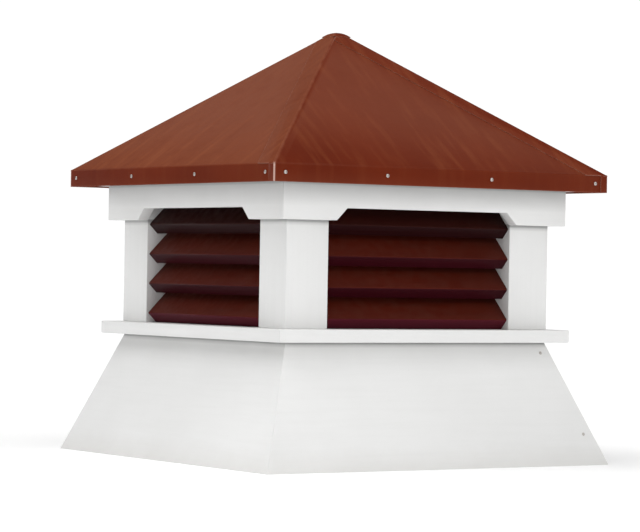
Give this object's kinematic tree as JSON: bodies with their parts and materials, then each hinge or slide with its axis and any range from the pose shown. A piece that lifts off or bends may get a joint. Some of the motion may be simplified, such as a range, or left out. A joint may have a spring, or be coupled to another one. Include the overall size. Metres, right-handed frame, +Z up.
{
  "type": "roof cupola",
  "caption": "Square roof cupola: flared white skirt, sill, corner posts, fixed louvres, notched frieze, and a hipped copper-brown sheet-metal roof.",
  "frame": {"origin": "middle of the square on which the skirt's lower edges rest", "axes": "+Z up; -Y out of the front side, +X to its right"},
  "size_m": [0.61, 0.61, 0.6523],
  "materials": {
    "white_pvc": "satin",
    "roof_metal": "satin",
    "louvre_metal": "satin"
  },
  "bodies": {
    "root": {"skirt_front": "white_pvc", "skirt_right": "white_pvc", "skirt_back": "white_pvc", "skirt_left": "white_pvc", "sill_front": "white_pvc", "sill_right": "white_pvc", "sill_back": "white_pvc", "sill_left": "white_pvc", "corner_post_front": "white_pvc", "corner_post_right": "white_pvc", "corner_post_back": "white_pvc", "corner_post_left": "white_pvc", "frieze_front": "white_pvc", "frieze_right": "white_pvc", "frieze_back": "white_pvc", "frieze_left": "white_pvc", "soffit_front": "white_pvc", "soffit_right": "white_pvc", "soffit_back": "white_pvc", "soffit_left": "white_pvc", "roof_panel_front": "roof_metal", "roof_panel_right": "roof_metal", "roof_panel_back": "roof_metal", "roof_panel_left": "roof_metal", "louvre_front_1": "louvre_metal", "louvre_front_2": "louvre_metal", "louvre_front_3": "louvre_metal", "louvre_front_4": "louvre_metal", "louvre_right_1": "louvre_metal", "louvre_right_2": "louvre_metal", "louvre_right_3": "louvre_metal", "louvre_right_4": "louvre_metal", "louvre_back_1": "louvre_metal", "louvre_back_2": "louvre_metal", "louvre_back_3": "louvre_metal", "louvre_back_4": "louvre_metal", "louvre_left_1": "louvre_metal", "louvre_left_2": "louvre_metal", "louvre_left_3": "louvre_metal", "louvre_left_4": "louvre_metal", "roof_cap": "roof_metal"}
  },
  "joints": []
}
